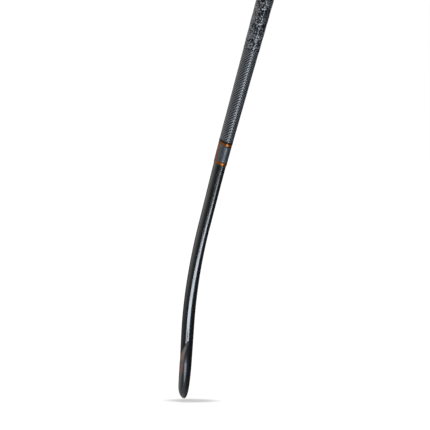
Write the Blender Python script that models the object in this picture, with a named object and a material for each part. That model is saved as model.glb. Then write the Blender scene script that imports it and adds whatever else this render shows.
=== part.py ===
"""Indoor hockey stick, right-handed, built as its separate pieces.

Metres, +Z up. The flat playing side looks along +X and the toe of the hook along -Y.
The stick is modelled with its head upright, and the empty stick_pose then leans it as it
is shown and brings the hand hold on the handle's axis to the origin.
"""
import math
from collections import namedtuple

import bmesh
import bpy
from mathutils import Matrix, Vector

# Length and pose
STICK_LENGTH = 0.927            # sole to butt end, along the face line
HEAD_LEAN = math.radians(3.9)   # lean of the head in the pose shown
HAND_HOLD = 0.800               # height of the hand hold along the face line

# Bow: the face line is straight, bends in an arc, and is set once more under the grip
BOW_START = 0.112
BOW_LENGTH = 0.163
BOW_ANGLE = math.radians(10.45)
SET_START = 0.343
SET_LENGTH = 0.097
SET_ANGLE = math.radians(1.4)

# Cross-section: a flat face, rounded edges and an elliptical back
BLADE_WIDTH = 0.046
BLADE_THICKNESS = 0.0198
BLADE_EDGE = 0.0095
WAIST_THICKNESS = 0.0192
WAIST_EDGE = 0.0072
HANDLE_WIDTH = 0.0325
HANDLE_THICKNESS = 0.0271
HANDLE_EDGE = 0.0095
TAPER_END = -0.040              # beyond the sole, where the head has thinned to the toe
BLADE_END = 0.115               # the head starts to thin here
WAIST_AT = 0.225                # the shaft is thinnest here
NARROWING_START = 0.250         # the width starts to fall here
HANDLE_START = 0.750            # the handle's width holds from here up
THICKENING_END = 0.830          # and its thickness from here

# Hook of the head
HOOK_RADIUS = 0.034             # of the hook's centre line
HOOK_TURN = math.radians(178)   # less than a half turn, so the toe splays out
SOLE_WIDTH = 0.040
SOLE_EDGE = 0.0062
SOLE_REACH = 0.024              # how far the sole's face side is rounded, across its width
TOE_WIDTH = 0.038
TOE_THICKNESS = 0.0165
TOE_EDGE = 0.0070
TOE_HEIGHT = 0.100              # sole to the tip of the toe

# Tip of the toe: each side closes along an ellipse, and the back falls away to it
TIP_OFFSET = 0.004              # from the toe's middle, towards the blade
TIP_OUTER_CURVE = 0.038
TIP_INNER_CURVE = 0.014
TIP_THICKNESS = 0.0055
TIP_TAPER = 0.036
TIP_ROUNDING = 0.0026

# Edges of the face where the section is narrow: the most of its width that each may take
INNER_EDGE_SHARE = 0.40
OUTER_EDGE_SHARE = 0.55

# Walls and clearances
SHELL_WALL = 0.0022
TUBE_WALL = 0.0011
CLEARANCE = 0.0003

# Inner pieces
CORE_TOP = 0.118                # the foam of the head ends here
PLUG_LENGTH = 0.040
PLUG_WALL = 0.0040
SPIGOT_LENGTH = 0.014
CAP_THICKNESS = 0.0050
CAP_ROUNDING = 0.0022

# Finishing band round the shaft, with its trims
BAND_START = 0.3806
BAND_LENGTH = 0.0355
TRIM_WIDTH = 0.0040
BAND_THICKNESS = 0.0003
END_TAPE_WIDTH = 0.0022
END_TAPE_THICKNESS = 0.0006

# Grip: a thin ribbed sleeve below and a wound tape above it
SLEEVE_THICKNESS = 0.0005
TAPE_START = 0.570
TAPE_THICKNESS = 0.0006
TAPE_LAP = 0.0003               # how far an overlapped edge stands proud
TAPE_FLANK = 0.0012             # width of the step at an overlapped edge
TAPE_TURNS = 14

# Fineness of the faceted surfaces
FLAT_STEPS = 2
CORNER_STEPS = 4
BACK_STEPS = 14
HALF_BACK_STEPS = 5
TUBE_CORNER_STEPS = 3
TIP_RINGS = 10
TIP_FIRST_ANGLE = math.radians(8)
HOOK_RINGS = 15
RING_SPACING = 0.026
TUBE_RING_SPACING = 0.040
STRIP_SEGMENTS = 6              # segments of the back that the orange strip covers
CAP_ROUNDING_RINGS = 4
SHARP_ANGLE = math.radians(35)
MERGE_DISTANCE = 1e-6

# Corners of the outline, counted from the face's toe side round by the heel
CORNERS = FLAT_STEPS + 2 * CORNER_STEPS + BACK_STEPS
BACK_MIDDLE = FLAT_STEPS + CORNER_STEPS + BACK_STEPS // 2

# Heights that follow from the sizes above
HOOK_CENTRE = HOOK_RADIUS + SOLE_WIDTH / 2
HOOK_END = HOOK_CENTRE - HOOK_RADIUS * math.sin(HOOK_TURN)
TOE_LENGTH = (TOE_HEIGHT - HOOK_END) / -math.cos(HOOK_TURN)
SHELL_END = STICK_LENGTH - CAP_THICKNESS - CLEARANCE
PLUG_START = SHELL_END - PLUG_LENGTH
BAND_END = BAND_START + BAND_LENGTH
END_TAPE_START = BAND_END + CLEARANCE
SLEEVE_START = END_TAPE_START + END_TAPE_WIDTH + CLEARANCE

# A place along the stick: its point on the face line, the direction of the section's
# width, the direction that the face looks, and the section's sizes. The face's edges are
# rounded edge deep, and on the out side they reach further across than that.
Station = namedtuple("Station", "point out normal width thickness edge reach")


def smooth(start, end, at):
    """0 before start, 1 after end, with a smooth rise between them."""
    share = min(max((at - start) / (end - start), 0.0), 1.0)
    return share * share * (3.0 - 2.0 * share)


def mix(low, high, share):
    return low + (high - low) * share


def advance(x, z, lean, length, turn):
    """Walk along the face line: straight, or round an arc when there is a turn."""
    if abs(turn) < 1e-9:
        return x + length * math.sin(lean), z + length * math.cos(lean), lean
    radius = length / turn
    x += radius * (math.cos(lean) - math.cos(lean + turn))
    z += radius * (math.sin(lean + turn) - math.sin(lean))
    return x, z, lean + turn


def face_line(height):
    """Point and lean of the face line at a height measured along it from the sole."""
    x, z, lean, done = 0.0, 0.0, 0.0, 0.0
    bends = ((BOW_START, BOW_LENGTH, BOW_ANGLE), (SET_START, SET_LENGTH, SET_ANGLE))
    for start, length, angle in bends:
        straight = min(height, start) - done
        x, z, lean = advance(x, z, lean, straight, 0.0)
        done += straight
        if height <= start:
            return Vector((x, 0.0, z)), lean
        bent = min(height - start, length)
        x, z, lean = advance(x, z, lean, bent, angle * bent / length)
        done += bent
        if height <= start + length:
            return Vector((x, 0.0, z)), lean
    x, z, lean = advance(x, z, lean, height - done, 0.0)
    return Vector((x, 0.0, z)), lean


def thickness_at(along):
    """Thickness by the way along the stick, which goes on below zero up the toe."""
    if along < BLADE_END:
        return mix(TOE_THICKNESS, BLADE_THICKNESS, smooth(TAPER_END, BLADE_END, along))
    if along < WAIST_AT:
        return mix(BLADE_THICKNESS, WAIST_THICKNESS, smooth(BLADE_END, WAIST_AT, along))
    return mix(WAIST_THICKNESS, HANDLE_THICKNESS, smooth(WAIST_AT, THICKENING_END, along))


def shaft_station(height):
    point, lean = face_line(height)
    out = Vector((0.0, 1.0, 0.0))
    normal = Vector((math.cos(lean), 0.0, -math.sin(lean)))
    narrowing = smooth(NARROWING_START, HANDLE_START, height)
    width = mix(BLADE_WIDTH, HANDLE_WIDTH, narrowing)
    edge = mix(BLADE_EDGE, WAIST_EDGE, smooth(BLADE_END, NARROWING_START, height))
    edge = mix(edge, HANDLE_EDGE, narrowing)
    return Station(point, out, normal, width, thickness_at(height), edge, edge)


def hook_directions(angle):
    """Outward and forward directions on the hook, angle 0 being where the shaft ends."""
    out = Vector((0.0, math.cos(angle), -math.sin(angle)))
    forward = Vector((0.0, -math.sin(angle), -math.cos(angle)))
    return out, forward


def hook_point(angle):
    centre = Vector((0.0, -HOOK_RADIUS, HOOK_CENTRE))
    return centre + HOOK_RADIUS * hook_directions(angle)[0]


def hook_station(angle):
    """A place on the hook, whose sizes pass the sole's half way round to the toe's."""
    sole = math.pi / 2
    if angle < sole:
        share = smooth(0.0, sole, angle)
        width = mix(BLADE_WIDTH, SOLE_WIDTH, share)
        edge = mix(BLADE_EDGE, SOLE_EDGE, share)
        reach = mix(BLADE_EDGE, SOLE_REACH, share)
    else:
        share = smooth(sole, HOOK_TURN, angle)
        width = mix(SOLE_WIDTH, TOE_WIDTH, share)
        edge = mix(SOLE_EDGE, TOE_EDGE, share)
        reach = mix(SOLE_REACH, TOE_EDGE, share)
    out = hook_directions(angle)[0]
    normal = Vector((1.0, 0.0, 0.0))
    thickness = thickness_at(HOOK_CENTRE - HOOK_RADIUS * angle)
    return Station(hook_point(angle), out, normal, width, thickness, edge, reach)


def tip_thickness(from_tip):
    """Thickness near the tip, where the back falls away towards the face."""
    share = min(from_tip / TIP_TAPER, 1.0)
    return mix(TIP_THICKNESS, TOE_THICKNESS, share * (2.0 - share))


def tip_side(from_tip, curve, reach):
    """How far one side of the toe lies out, on the ellipse that closes on the tip."""
    share = min(from_tip / curve, 1.0)
    return reach * math.sqrt(1.0 - (1.0 - share) ** 2)


def toe_station(from_tip, inset):
    """A place on the toe, from_tip being measured from the inset skin's own tip."""
    out, forward = hook_directions(HOOK_TURN)
    outer = tip_side(from_tip, TIP_OUTER_CURVE, TOE_WIDTH / 2 + TIP_OFFSET - inset)
    inner = tip_side(from_tip, TIP_INNER_CURVE, TOE_WIDTH / 2 - TIP_OFFSET - inset)
    width = outer + inner + 2 * inset
    middle = (outer - inner) / 2 - TIP_OFFSET
    point = hook_point(HOOK_TURN) + forward * (TOE_LENGTH - inset - from_tip) + out * middle
    normal = Vector((1.0, 0.0, 0.0))
    thickness = tip_thickness(from_tip + inset)
    return Station(point, out, normal, width, thickness, TOE_EDGE, TOE_EDGE)


def head_rings(inset):
    """Sections from the tip of the toe round the hook to the foot of the shaft."""
    rounding = max(TIP_ROUNDING - inset, 0.0)
    rings = []
    for ring in range(TIP_RINGS):
        angle = mix(TIP_FIRST_ANGLE, math.pi / 2, ring / (TIP_RINGS - 1))
        from_tip = (TOE_LENGTH - inset) * (1.0 - math.cos(angle))
        short = max(rounding - from_tip, 0.0)
        tuck = rounding - math.sqrt(rounding ** 2 - short ** 2)
        station = toe_station(from_tip, inset)
        rings.append(place(station, outline(station, inset + tuck)))
    hook = [hook_station(HOOK_TURN * (1.0 - ring / HOOK_RINGS)) for ring in range(1, HOOK_RINGS)]
    return rings + rings_of(hook, inset)


def shaft_stations(start, end, spacing=RING_SPACING):
    steps = max(1, math.ceil((end - start) / spacing))
    return [shaft_station(mix(start, end, step / steps)) for step in range(steps + 1)]


def section_sizes(station, inset):
    """Width, thickness, the edges' depth, and how far the inner and the out one reach."""
    width = station.width - 2 * inset
    thickness = station.thickness - 2 * inset
    edge = min(station.edge - inset, thickness / 2)
    inner = min(edge, INNER_EDGE_SHARE * width)
    reach = min(station.reach - inset, OUTER_EDGE_SHARE * width)
    return width, thickness, edge, inner, reach


def outline(station, inset):
    """Section as (across, depth) pairs: the face, an edge, the back and the other edge."""
    width, thickness, edge, inner, reach = section_sizes(station, inset)
    half = width / 2
    pairs = []
    for step in range(FLAT_STEPS):
        pairs.append((mix(inner - half, half - reach, step / FLAT_STEPS), 0.0))
    for step in range(CORNER_STEPS):
        turn = math.pi / 2 * step / CORNER_STEPS
        pairs.append((half - reach + reach * math.sin(turn), edge * (1.0 - math.cos(turn))))
    for step in range(BACK_STEPS):
        turn = math.pi * step / BACK_STEPS
        pairs.append((half * math.cos(turn), edge + (thickness - edge) * math.sin(turn)))
    for step in range(CORNER_STEPS):
        turn = math.pi / 2 * step / CORNER_STEPS
        pairs.append((inner - half - inner * math.cos(turn), edge * (1.0 - math.sin(turn))))
    return [(across, inset + depth) for across, depth in pairs]


def half_outline(station, inset, rib, side):
    """The section's half on one side, cut off flat at rib from the middle."""
    width, thickness, edge, inner, _ = section_sizes(station, inset)
    half = width / 2
    pairs = [(rib, 0.0)]
    for step in range(TUBE_CORNER_STEPS + 1):
        turn = math.pi / 2 * step / TUBE_CORNER_STEPS
        across = half - inner + inner * math.sin(turn)
        pairs.append((across, edge * (1.0 - math.cos(turn))))
    last = math.acos(rib / half)
    for step in range(1, HALF_BACK_STEPS + 1):
        turn = last * step / HALF_BACK_STEPS
        pairs.append((half * math.cos(turn), edge + (thickness - edge) * math.sin(turn)))
    return [(side * across, inset + depth) for across, depth in pairs]


def place(station, pairs):
    """Points of a section in space, depth being measured behind the face line."""
    return [
        station.point + station.out * across - station.normal * depth
        for across, depth in pairs
    ]


def rings_of(stations, inset):
    return [place(station, outline(station, inset)) for station in stations]


def loft(mesh, rings, closed, girth_closed=True):
    """Skin from ring to ring. The ends are filled, or joined to each other if closed."""
    loops = [[mesh.verts.new(point) for point in ring] for ring in rings]
    pairs = list(zip(loops, loops[1:]))
    if closed:
        pairs.append((loops[-1], loops[0]))
    else:
        mesh.faces.new(loops[0])
        mesh.faces.new(loops[-1])
    count = len(loops[0])
    for lower, upper in pairs:
        for corner in range(count if girth_closed else count - 1):
            after = (corner + 1) % count
            mesh.faces.new((lower[corner], lower[after], upper[after], upper[corner]))


def material(name, colour, roughness, metallic=0.0):
    finish = bpy.data.materials.new(name)
    finish.use_nodes = True
    shader = finish.node_tree.nodes["Principled BSDF"]
    shader.inputs["Base Color"].default_value = (*colour, 1.0)
    shader.inputs["Roughness"].default_value = roughness
    shader.inputs["Metallic"].default_value = metallic
    finish.diffuse_color = (*colour, 1.0)
    return finish


def finish_piece(name, mesh, pose, finish):
    """Turn a bmesh into a named object that hangs on the pose empty."""
    bmesh.ops.recalc_face_normals(mesh, faces=mesh.faces)
    data = bpy.data.meshes.new(name)
    mesh.to_mesh(data)
    mesh.free()
    data.shade_smooth()
    data.set_sharp_from_angle(angle=SHARP_ANGLE)
    data.materials.append(finish)
    piece = bpy.data.objects.new(name, data)
    piece.parent = pose
    bpy.context.scene.collection.objects.link(piece)
    return piece


def lofted_piece(name, rings, closed, pose, finish):
    mesh = bmesh.new()
    loft(mesh, rings, closed)
    return finish_piece(name, mesh, pose, finish)


def composite_shell(pose):
    """Hollow laminate of shaft and head in one, open only at the butt."""
    shaft = shaft_stations(HOOK_CENTRE, SHELL_END)
    outer = head_rings(0.0) + rings_of(shaft, 0.0)
    inner = head_rings(SHELL_WALL) + rings_of(shaft, SHELL_WALL)
    finish = material("lacquered_laminate", (0.018, 0.019, 0.021), 0.22)
    return lofted_piece("composite_shell", outer + inner[::-1], False, pose, finish)


def head_core(pose):
    """Foam that fills the hook and the foot of the shaft."""
    inset = SHELL_WALL + CLEARANCE
    rings = head_rings(inset) + rings_of(shaft_stations(HOOK_CENTRE, CORE_TOP), inset)
    finish = material("core_foam", (0.62, 0.52, 0.33), 0.85)
    return lofted_piece("head_core", rings, False, pose, finish)


def shaft_tube(name, side, pose):
    """One of the two inner tubes, whose walls together make the shaft's centre rib."""
    inset = SHELL_WALL + CLEARANCE
    stations = shaft_stations(
        CORE_TOP + CLEARANCE, PLUG_START - CLEARANCE, TUBE_RING_SPACING
    )
    rings = []
    for wall in (0.0, TUBE_WALL):
        rib = CLEARANCE / 2 + wall
        skin = [place(at, half_outline(at, inset + wall, rib, side)) for at in stations]
        rings += skin if wall == 0.0 else skin[::-1]
    finish = material("raw_laminate", (0.03, 0.03, 0.032), 0.5)
    return lofted_piece(name, rings, True, pose, finish)


def handle_plug(pose):
    """Stopper bonded in the butt, with the socket that the cap's spigot sits in."""
    inset = SHELL_WALL + CLEARANCE
    body = shaft_stations(PLUG_START, SHELL_END)
    socket_floor = SHELL_END - SPIGOT_LENGTH - CLEARANCE
    socket = [shaft_station(SHELL_END), shaft_station(socket_floor)]
    rings = rings_of(body, inset) + rings_of(socket, inset + PLUG_WALL)
    finish = material("plug_foam", (0.55, 0.44, 0.30), 0.8)
    return lofted_piece("handle_plug", rings, False, pose, finish)


def butt_cap(pose):
    """Rubber cap: a flat disc flush with the grip, and a spigot into the plug."""
    spigot = SHELL_WALL + PLUG_WALL + 2 * CLEARANCE
    rim = -(CLEARANCE + TAPE_THICKNESS + TAPE_LAP)
    seat = shaft_station(SHELL_END + CLEARANCE)
    foot = shaft_station(SHELL_END - SPIGOT_LENGTH)
    rings = rings_of([foot, seat], spigot) + rings_of([seat], rim)
    for ring in range(CAP_ROUNDING_RINGS):
        turn = math.pi / 2 * ring / (CAP_ROUNDING_RINGS - 1)
        height = STICK_LENGTH - CAP_ROUNDING * (1.0 - math.sin(turn))
        inset = rim + CAP_ROUNDING * (1.0 - math.cos(turn))
        rings += rings_of([shaft_station(height)], inset)
    finish = material("cap_rubber", (0.02, 0.02, 0.02), 0.6)
    return lofted_piece("butt_cap", rings, False, pose, finish)


def sleeve(name, start, end, gap, thickness, pose, finish):
    """A skin all round the shaft between two heights."""
    stations = shaft_stations(start, end)
    outer = rings_of(stations, -gap - thickness)
    inner = rings_of(stations, -gap)
    return lofted_piece(name, outer + inner[::-1], True, pose, finish)


def along(pairs, start, end):
    """Part of an outline from one place to another, places being counted in corners."""
    def corner(at):
        low = math.floor(at)
        first = pairs[low % len(pairs)]
        second = pairs[(low + 1) % len(pairs)]
        return (mix(first[0], second[0], at - low), mix(first[1], second[1], at - low))

    middle = range(math.floor(start) + 1, math.ceil(end))
    return [corner(start)] + [pairs[at % len(pairs)] for at in middle] + [corner(end)]


def patch(name, start, end, first, last, pose, finish):
    """A film over part of the shaft's girth, between two places on the outline."""
    rings = []
    for station in shaft_stations(start, end):
        outer = along(outline(station, -CLEARANCE - BAND_THICKNESS), first, last)
        inner = along(outline(station, -CLEARANCE), first, last)
        rings.append(place(station, outer + inner[::-1]))
    return lofted_piece(name, rings, False, pose, finish)


def finishing_band(pose):
    """Grey band with an orange trim above and below, joined by a strip on the back."""
    orange = material("trim_orange", (0.68, 0.20, 0.025), 0.35)
    grey = material("band_grey", (0.12, 0.14, 0.17), 0.4)
    lower_end = BAND_START + TRIM_WIDTH
    upper_start = BAND_END - TRIM_WIDTH
    sleeve("band_trim_lower", BAND_START, lower_end, CLEARANCE, BAND_THICKNESS, pose, orange)
    sleeve("band_trim_upper", upper_start, BAND_END, CLEARANCE, BAND_THICKNESS, pose, orange)

    start = lower_end + CLEARANCE
    end = upper_start - CLEARANCE
    strip_first = BACK_MIDDLE - STRIP_SEGMENTS // 2
    strip_last = BACK_MIDDLE + STRIP_SEGMENTS // 2
    pairs = outline(shaft_station(end), 0.0)
    gap = CLEARANCE / math.dist(pairs[strip_last], pairs[strip_last + 1])
    patch("band_back_strip", start, end, strip_first, strip_last, pose, orange)
    patch("band_panel", start, end, strip_last + gap, strip_first + CORNERS - gap, pose, grey)


def tape_pitch():
    return (SHELL_END - TAPE_START) / TAPE_TURNS


def lap_height(turns):
    """How proud the wound tape stands, counted in turns from its lower end."""
    flank = TAPE_FLANK / tape_pitch()
    share = turns % 1.0
    if share < flank:
        return TAPE_LAP * share / flank
    return TAPE_LAP * (1.0 - share) / (1.0 - flank)


def wound_tape(name, start, end, pose, finish):
    """Grip tape wound up the handle, each turn lapping the one before it.

    The rows of the outer skin climb one pitch a turn along the laps. Where a row would
    run past an end of the tape it lies on that end's rim, and is merged with it.
    """
    pitch = tape_pitch()
    rows = []
    for turn in range(-1, TAPE_TURNS + 1):
        rows += [turn, turn + TAPE_FLANK / pitch]
    rings = []
    for row in rows:
        ring = []
        for corner in range(CORNERS + 1):
            height = start + pitch * (row + corner / CORNERS)
            height = min(max(height, start), end)
            proud = lap_height((height - start) / pitch - corner / CORNERS)
            station = shaft_station(height)
            pairs = outline(station, -CLEARANCE - TAPE_THICKNESS - proud)
            ring += place(station, [pairs[corner % CORNERS]])
        rings.append(ring)
    inner = rings_of(shaft_stations(start, end), -CLEARANCE)
    rings += [ring + ring[:1] for ring in inner[::-1]]
    mesh = bmesh.new()
    loft(mesh, rings, closed=True, girth_closed=False)
    bmesh.ops.remove_doubles(mesh, verts=mesh.verts, dist=MERGE_DISTANCE)
    return finish_piece(name, mesh, pose, finish)


def grip(pose):
    """End tape over the band's edge, ribbed sleeve, and the wound tape above it."""
    black = material("end_tape_black", (0.012, 0.012, 0.013), 0.5)
    ribbed = material("sleeve_charcoal", (0.060, 0.062, 0.064), 0.5)
    wound = material("tape_charcoal", (0.055, 0.057, 0.060), 0.55)
    tape_end = END_TAPE_START + END_TAPE_WIDTH
    sleeve("grip_end_tape", END_TAPE_START, tape_end, CLEARANCE, END_TAPE_THICKNESS, pose, black)
    sleeve_end = TAPE_START - CLEARANCE
    sleeve("grip_sleeve", SLEEVE_START, sleeve_end, CLEARANCE, SLEEVE_THICKNESS, pose, ribbed)
    wound_tape("grip_tape", TAPE_START, SHELL_END, pose, wound)


def pose_empty():
    """The empty that leans the stick and brings the hand hold to the origin."""
    station = shaft_station(HAND_HOLD)
    hold = station.point - station.normal * station.thickness / 2
    turn = Matrix.Rotation(HEAD_LEAN, 4, "Y")
    empty = bpy.data.objects.new("stick_pose", None)
    empty.rotation_euler = (0.0, HEAD_LEAN, 0.0)
    empty.location = -(turn @ hold)
    bpy.context.scene.collection.objects.link(empty)
    return empty


def build():
    for old in list(bpy.data.objects):
        bpy.data.objects.remove(old, do_unlink=True)
    pose = pose_empty()
    composite_shell(pose)
    head_core(pose)
    shaft_tube("shaft_tube_heel_side", 1.0, pose)
    shaft_tube("shaft_tube_toe_side", -1.0, pose)
    handle_plug(pose)
    butt_cap(pose)
    finishing_band(pose)
    grip(pose)
    bpy.context.view_layer.update()


build()
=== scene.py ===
"""Looks of the indoor hockey stick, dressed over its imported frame.

Every shown piece is rolled again from the sizes that the frame's solids have, with a finer
skin and the relief of its surface, and gets its finish here. Metres, +Z up, the origin at
the hand hold on the handle.
"""
import math
from collections import namedtuple

import bmesh
import bpy
import numpy as np
from mathutils import Matrix, Vector, noise


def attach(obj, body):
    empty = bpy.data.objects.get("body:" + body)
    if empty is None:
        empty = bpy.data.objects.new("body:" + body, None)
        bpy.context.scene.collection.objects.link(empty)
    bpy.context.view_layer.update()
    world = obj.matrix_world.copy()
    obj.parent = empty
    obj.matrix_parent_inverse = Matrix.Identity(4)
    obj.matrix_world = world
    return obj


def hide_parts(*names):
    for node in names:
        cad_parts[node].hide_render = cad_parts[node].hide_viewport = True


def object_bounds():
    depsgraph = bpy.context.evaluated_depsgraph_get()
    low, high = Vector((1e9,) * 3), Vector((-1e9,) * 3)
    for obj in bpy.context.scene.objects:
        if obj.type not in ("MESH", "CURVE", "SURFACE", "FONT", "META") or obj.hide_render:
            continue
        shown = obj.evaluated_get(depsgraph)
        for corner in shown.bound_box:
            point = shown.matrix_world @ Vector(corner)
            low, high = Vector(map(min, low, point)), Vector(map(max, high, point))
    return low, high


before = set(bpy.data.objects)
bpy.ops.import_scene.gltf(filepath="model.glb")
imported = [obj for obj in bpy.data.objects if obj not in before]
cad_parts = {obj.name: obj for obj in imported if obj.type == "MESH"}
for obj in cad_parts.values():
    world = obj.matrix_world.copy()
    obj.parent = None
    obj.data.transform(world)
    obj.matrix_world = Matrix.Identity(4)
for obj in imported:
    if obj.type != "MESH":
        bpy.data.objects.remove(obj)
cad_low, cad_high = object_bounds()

# Length and pose
STICK_LENGTH = 0.927
HEAD_LEAN = math.radians(3.9)
HAND_HOLD = 0.800

# Bow of the face line: start, length and angle of each bend
BENDS = ((0.112, 0.163, math.radians(10.45)), (0.343, 0.097, math.radians(1.4)))

# Cross-section
BLADE_WIDTH = 0.046
BLADE_THICKNESS = 0.0198
BLADE_EDGE = 0.0095
WAIST_THICKNESS = 0.0192
WAIST_EDGE = 0.0072
HANDLE_WIDTH = 0.0325
HANDLE_THICKNESS = 0.0271
HANDLE_EDGE = 0.0095
TAPER_END = -0.040              # beyond the sole, where the head's thinning has ended
BLADE_END = 0.115
WAIST_AT = 0.225
NARROWING_START = 0.250
HANDLE_START = 0.750
THICKENING_END = 0.830

# Hook of the head
HOOK_RADIUS = 0.034
HOOK_TURN = math.radians(178)
SOLE_WIDTH = 0.040
SOLE_EDGE = 0.0062
SOLE_REACH = 0.024              # how far the sole's face side is rounded, across its width
TOE_WIDTH = 0.038
TOE_THICKNESS = 0.0165
TOE_EDGE = 0.0070
TOE_HEIGHT = 0.100
TIP_OFFSET = 0.004              # the tip lies this far from the toe's middle, towards the blade
TIP_OUTER_CURVE = 0.038
TIP_INNER_CURVE = 0.014
TIP_THICKNESS = 0.0055
TIP_TAPER = 0.036
TIP_ROUNDING = 0.0026

# Edges of the face where the section is narrow: the most of its width that each may take
INNER_EDGE_SHARE = 0.40
OUTER_EDGE_SHARE = 0.55

# Walls and clearances
SHELL_WALL = 0.0022
CLEARANCE = 0.0003
PLUG_WALL = 0.0040
SPIGOT_LENGTH = 0.014
CAP_THICKNESS = 0.0050
CAP_ROUNDING = 0.0022

# Finishing band and grip
BAND_START = 0.3806
BAND_LENGTH = 0.0355
TRIM_WIDTH = 0.0040
BAND_THICKNESS = 0.0003
END_TAPE_WIDTH = 0.0022
END_TAPE_THICKNESS = 0.0006
STRIP_SHARE = 6 / 14            # share of the back's sweep that the orange strip covers
SLEEVE_THICKNESS = 0.0005
TAPE_START = 0.570
TAPE_THICKNESS = 0.0006
TAPE_LAP = 0.0003
TAPE_FLANK = 0.0012
TAPE_TURNS = 14

# Relief of the grip
RIB_PITCH = 0.00455             # of the sleeve's dotted ribs, along the handle
RIBS_ROUND = 24                 # and how many dots there are in one turn round it
RIB_DEPTH = 0.00034
RISING_SHARE = 0.35             # weight of the diagonal that rises to the right
FALLING_SHARE = 0.15            # and of the one that crosses it
PEBBLE_SIZE = 0.0036
PEBBLE_DEPTH = 0.00032
CREASE_WIDTH = 0.45             # of the creases between pebbles, as a share of their size
PEBBLE_CURVE = 0.7              # below 1, a pebble rises steeply and is flat on top
# Painted shade: the tape's tone is darker where it lies low before each lap
PAINTED_LAP_SHADE = 0.18                # how much darker the tape is before each lap than on it
RIB_WANDER = 0.06               # of a rib's place, in pitches
WANDER_SIZE = 0.006

# Fineness of the skins
GIRTH_STEPS = 96
RING_SPACING = 0.003
INNER_SPACING = 0.02
TIP_RINGS = 28
HOOK_RINGS = 56
SLEEVE_STEPS = 200
SLEEVE_SPACING = 0.00046
TAPE_STEPS = 156
TAPE_ROWS_A_TURN = 38
BAND_SPACING = 0.001
STRIP_STEPS = 24
PANEL_STEPS = 72
EDGE_TAPE_SPACING = 0.0005
CAP_STEPS = 8
CAP_CREASE = math.radians(50)
OUTLINE_SAMPLES = 60
BACK_SAMPLES = 3 * OUTLINE_SAMPLES
LEAST_SIZE = 1e-6
LEAST_TURN = 1e-9
WELD_DISTANCE = 1e-6

# Places that follow from the sizes above
HOOK_CENTRE = HOOK_RADIUS + SOLE_WIDTH / 2
HOOK_END = HOOK_CENTRE - HOOK_RADIUS * math.sin(HOOK_TURN)
TOE_LENGTH = (TOE_HEIGHT - HOOK_END) / -math.cos(HOOK_TURN)
SHELL_END = STICK_LENGTH - CAP_THICKNESS - CLEARANCE
BAND_END = BAND_START + BAND_LENGTH
END_TAPE_START = BAND_END + CLEARANCE
SLEEVE_START = END_TAPE_START + END_TAPE_WIDTH + CLEARANCE
TAPE_PITCH = (SHELL_END - TAPE_START) / TAPE_TURNS
LAP_FLANK = TAPE_FLANK / TAPE_PITCH

# Camera: the photograph's viewing angle, through a long lens
FRAME_PIXELS = 430
PIXELS_PER_METRE = 625.0
VIEW_AZIMUTH = math.radians(2.5)
VIEW_ELEVATION = math.radians(10.3)
VIEW_DISTANCE = 8.0
VIEW_END = 100.0
VIEW_CENTRE = Vector((-0.1188, 0.0, -0.4898))
SENSOR_WIDTH = 36.0             # millimetres, as Blender counts a sensor

# Floor and the soft shadow painted on it under the head
FLOOR_DROP = 0.0065             # the stick is shown just clear of the floor
FLOOR_HALF_SIZE = 20.0
PAINTED_SHADOW_CENTRE = (-0.155, -0.0275)
PAINTED_SHADOW_REACH = (0.0605, 0.0205)
PAINTED_SHADOW_CORE = 0.3                # share of its reach where the shade is even
PAINTED_SHADOW_TONE = 0.60
FLOOR_PAINT = 0.12
FLOOR_GLOW = 0.95               # what the camera sees besides, so that the floor is white

# Tones that the room shows in gloss: first and last angle in degrees, from the front round the
# left, with the tone at each
BACK_WALL = (138.0, 165.0, 1.0, 0.05)
PALE_WALL = (60.0, 140.0, 0.0, 0.38)
BRIGHT_WALL = (50.0, 110.0, 0.0, 0.42)
LOW_WALL = (20.0, 90.0, 0.07, 0.28)
RIGHT_SIDE = (0.0, -50.0, 1.0, 0.45)
RIGHT_WALL = (-100.0, -50.0, 0.0, 0.045)
DEEP_TONE = 0.24

# Where those tones begin and are all there, by how far a direction points up
PALE_CLIMB = (-0.20, 0.05)
BRIGHT_CLIMB = (0.06, 0.30)
LOW_BAND = ((-0.15, -0.30), (-0.35, -0.60))
DEEP_CLIMB = (-0.40, -0.75)
UNDERSIDE = (-0.75, -0.92)

SOFT_LIGHT = (0.9, -0.9, 0.15, 0.60)    # what lights dull surfaces, from the right to the left
WHITE = (1.0, 1.0, 1.0)
COOL_WHITE = (0.81, 0.89, 1.0)

# Copper stripes painted across the toe's back: start and end of each along the stick
COPPER_STRIPES = ((-0.0840, -0.0690), (-0.0648, -0.0495))
COPPER_EDGE = 0.0012

# Soft edges of the head's paint and scuffs along the stick, from where each begins
FIELD_TIP = (-0.0925, -0.0890)
FIELD_BEND = (-0.034, -0.022)
SOLE_TOE_SIDE = (-0.050, -0.012)
SOLE_HEEL_SIDE = (0.012, 0.044)
TIP_DULLING = (-0.056, -0.070, 0.09, 0.17)          # with the roughness that each place adds
FIELD_NARROWING = (-0.065, -0.030, 0.218, 0.172)    # with the field's reach from the back
TOE_REACH = (-0.050, -0.072)    # these two lie across the stick, on the toe's side

# The same across the girth, in shares of it from the middle of the back
COPPER_SIDE = (0.195, 0.215)
FIELD_SIDE = (-0.015, 0.015)    # past the field's own reach
# where the toe's painted sheen ends, towards the face
TOE_SHEEN_SIDE = (0.30, 0.36)
TOE_BARENESS = 0.95             # share of the lacquer's gloss that the toe lacks
SCUFF_DEPTH = 0.6               # and that a scuff takes away

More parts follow.
